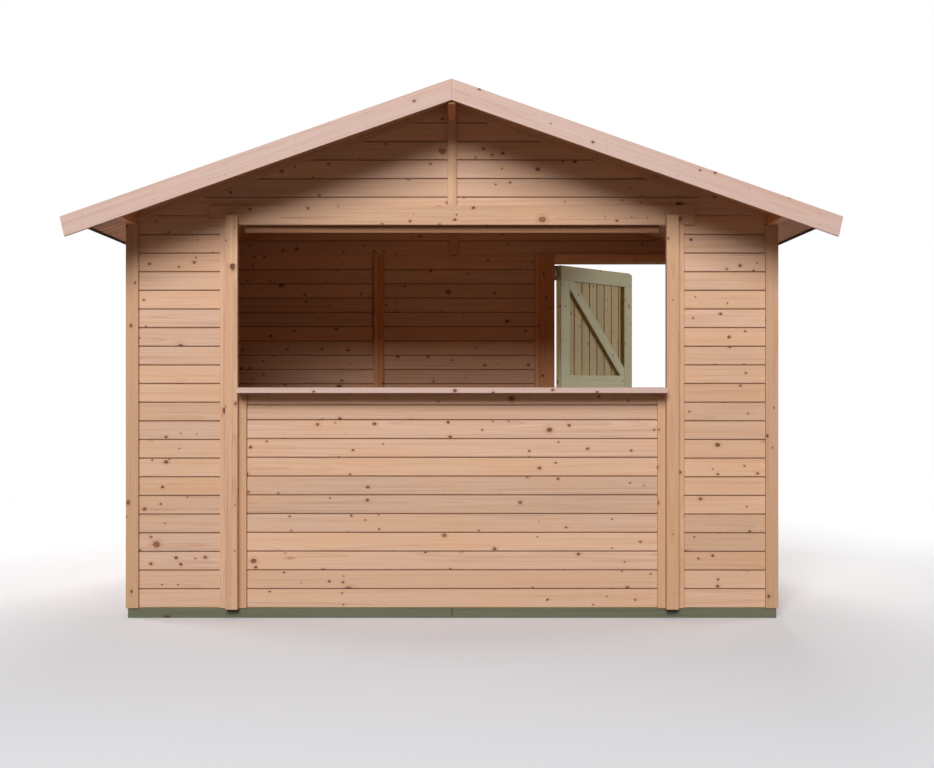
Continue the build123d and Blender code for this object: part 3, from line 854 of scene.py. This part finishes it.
def barge_nails(jitter):
    """Pairs of nails down each barge board."""
    pairs = 6
    ridge_clear = 0.06
    eave_clear = 0.1
    pair_drops = (0.022, 0.068)
    ridge, reach, eave = felt_lines()
    fall = (ridge - eave) / reach
    places = []
    for node, facing in (
        ("front_barge_right", -Y), ("front_barge_left", -Y), ("back_barge_right", Y), ("back_barge_left", Y),
    ):
        low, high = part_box(node)
        face_y = low.y if facing.y < 0 else high.y
        side = 1 if node.endswith("right") else -1
        board_reach = max(abs(low.x), abs(high.x))
        for index in range(pairs):
            x = ridge_clear + (board_reach - ridge_clear - eave_clear) * index / (pairs - 1)
            for drop in pair_drops:
                z = ridge - x * fall - drop
                places.append((Vector((side * x + jitter(), face_y, z + jitter(0.002))), facing))
    return places


def front_nails(jitter):
    """Pairs of nails along the lintel board, and single ones up the posts."""
    lintel_inset = 0.02
    lintel_places = (-1.06, -0.7, -0.35, 0.0, 0.35, 0.7, 1.06)
    post_inset = 0.028
    post_heights = (0.12, 0.5, 0.9, 1.3, 1.7, 1.83)
    places = []
    low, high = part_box("lintel_board")
    for x in lintel_places:
        for z in (low.z + lintel_inset, high.z - lintel_inset):
            places.append((Vector((x + jitter(), low.y, z + jitter())), -Y))
    low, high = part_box("front_posts")
    for side in (-1, 1):
        for z in post_heights:
            places.append((Vector((side * (high.x - post_inset) + jitter(), low.y, z + jitter())), -Y))
    return places


def leaf_nails(jitter):
    """Pairs of nails through each board of the leaf into its bottom, top and middle ledge."""
    half_ledge = 0.045
    half_pair = 0.021
    middle_ledge = 1.085
    edge_clear = 0.02
    low, high = shut_extent("door_boards")
    ledges_low, ledges_high = shut_extent("door_ledges")
    places = []
    for height in (ledges_low.z + half_ledge, ledges_high.z - half_ledge, middle_ledge):
        x = low.x + board_cover / 2
        while x < high.x - edge_clear:
            for z in (height - half_pair, height + half_pair):
                places.append((to_open(x + jitter(), high.y, z + jitter()), leaf_out))
            x += board_cover
    return places


def make_nails():
    """Nail heads where such a hut has them: trims, barge boards, lintel, posts and the leaf."""
    luck = random.Random("nails")

    def jitter(amount=0.003):
        return luck.uniform(-amount, amount)

    places = corner_trim_nails(jitter) + barge_nails(jitter) + front_nails(jitter)
    heads("trim_nails", places, "nail", "steel", "stall", **trim_nail)
    heads("door_nails", leaf_nails(jitter), "nail", "steel", "door", **door_nail)


def make_screws():
    """Domed screw heads in the hinges and the bolt."""
    half_hinge = 0.044
    strap_screws = ((0.026, 0.032), (0.026, -0.032), (0.075, 0.0), (0.15, 0.0), (0.225, 0.0), (0.3, 0.0))
    plate_screws = ((0.011, -0.032), (0.029, -0.032), (0.011, 0.032), (0.029, 0.032))
    bolt_height = 1.08
    bolt_screws = ((0.01, -0.012), (0.01, 0.012), (0.11, -0.012), (0.11, 0.012))
    face = shut_extent("door_boards")[1].y
    strap_low, strap_high = shut_extent("door_strap_hinges")
    plate_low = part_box("hinge_plates")[0]
    bolt_end = shut_extent("door_bolt")[1].x
    on_door = []
    on_stall = []
    for height in (strap_low.z + half_hinge, strap_high.z - half_hinge):
        for x, z in strap_screws:
            on_door.append((to_open(hinge_place.x + x, face + hinge_plate, height + z), leaf_out))
        for x, z in plate_screws:
            on_stall.append((Vector((plate_low.x + x, plate_low.y + hinge_plate, height + z)), Y))
    for x, z in bolt_screws:
        on_door.append((to_open(bolt_end - x, face + bolt_plate, bolt_height + z), leaf_out))
    heads("door_screws", on_door, "steel", "steel", "door", **screw)
    heads("hinge_screws", on_stall, "steel", "steel", "stall", **screw)


def paint(node, material):
    """Give a CAD node that shows as it is its finish."""
    slots = frame["nodes"][node].data.materials
    slots.clear()
    slots.append(materials[material])


def make_stage():
    """A pale floor that keeps the shadow and fades into a white backdrop."""
    size = 60.0
    fade_start = 3.2
    fade_end = 8.0
    pale = (0.80, 0.80, 0.80, 1)
    # What the floor throws back on the hut is the tone of trodden ground
    ground = (0.115, 0.068, 0.04, 1)
    mesh = bpy.data.meshes.new("floor")
    mesh.from_pydata(
        [(-size, -size, 0), (size, -size, 0), (size, size, 0), (-size, size, 0)], [], [(0, 1, 2, 3)]
    )
    floor = add_object("floor", mesh)
    graph = Graph(bpy.data.materials.new("pale_floor"))
    seen = graph.seen()
    graph.set("Base Color", graph.mix(seen, ground, pale))
    graph.set("Roughness", 0.9)
    distance = graph.add("ShaderNodeVectorMath", operation="LENGTH")
    graph.feed(distance.inputs[0], graph.object_place())
    far = graph.math("MULTIPLY", graph.span(distance.outputs["Value"], fade_start, fade_end), seen)
    glow = graph.add("ShaderNodeEmission", {"Color": (1, 1, 1, 1), "Strength": 1.0})
    blend = graph.add("ShaderNodeMixShader")
    graph.feed(blend.inputs[0], far)
    graph.feed(blend.inputs[1], graph.shader.outputs[0])
    graph.feed(blend.inputs[2], glow.outputs[0])
    graph.feed(graph.tree.nodes["Material Output"].inputs["Surface"], blend.outputs[0])
    mesh.materials.append(graph.owner)


def make_world():
    """White where it is seen, and a weak warm room for the light that it gives."""
    room_strength = 0.05
    room_tint = (1.0, 0.74, 0.5, 1)
    world = bpy.data.worlds.new("studio")
    bpy.context.scene.world = world
    graph = Graph(world, "Background")
    seen = graph.seen()
    strength = graph.add("ShaderNodeMapRange", {"Value": seen, "To Min": room_strength, "To Max": 1.0})
    graph.set("Color", graph.mix(seen, room_tint, (1, 1, 1, 1)))
    graph.set("Strength", strength.outputs[0])


def area_lamp(name, place, target, size, power, colour=(1, 1, 1)):
    """A square lamp that the camera doesn't see, turned to its target."""
    data = bpy.data.lights.new(name, "AREA")
    data.shape = "SQUARE"
    data.size = size
    data.energy = power
    data.color = colour
    lamp = add_object(name, data)
    lamp.location = place
    lamp.rotation_euler = (Vector(target) - Vector(place)).to_track_quat("-Z", "Y").to_euler()
    lamp.visible_camera = False


def make_lights():
    """A soft key from the front left, weaker soft lamps round the hut, and a faint one inside it."""
    area_lamp(
        "key", place=(-1.3, -14.7, 8.0), target=(0.1, -0.8, 1.0), size=6.2, power=2540,
        colour=(0.98, 1.0, 1.06),
    )
    area_lamp(
        "inside", place=(0.0, -0.55, 2.02), target=(0.0, 0.9, 1.2), size=0.36, power=1.2,
        colour=(1.0, 0.60, 0.30),
    )
    area_lamp("right", place=(8.0, 2.7, 2.1), target=(0.9, 1.2, 1.3), size=3.4, power=255)
    area_lamp("left", place=(-7.9, 2.5, 2.1), target=(-0.9, 0.8, 1.3), size=3.6, power=340)
    area_lamp("back", place=(0.5, 8.8, 6.2), target=(0, 0.8, 1.0), size=4.6, power=760)


def make_camera():
    """The photograph's view: level, square on, with the vanishing point a little left of centre."""
    frame_width = 934
    focal_px = 1380
    vanishing_px = 461
    data = bpy.data.cameras.new("camera")
    data.sensor_width = 36.0
    data.lens = focal_px * data.sensor_width / frame_width
    data.shift_x = (frame_width / 2 - vanishing_px) / frame_width
    camera = add_object("camera", data)
    camera.location = (0.041, -7.342, 1.076)
    camera.rotation_euler = (math.radians(90), 0, 0)
    bpy.context.scene.camera = camera


make_camera()
make_walls()
make_roof()
make_floor()
make_door()
make_timbers()
make_felt()
make_nails()
make_screws()
for node in ("door_strap_hinges", "hinge_plates", "door_bolt", "door_handle", "bolt_keeper"):
    paint(node, "steel")
make_stage()
make_world()
make_lights()

bpy.context.scene.view_settings.view_transform = "Standard"
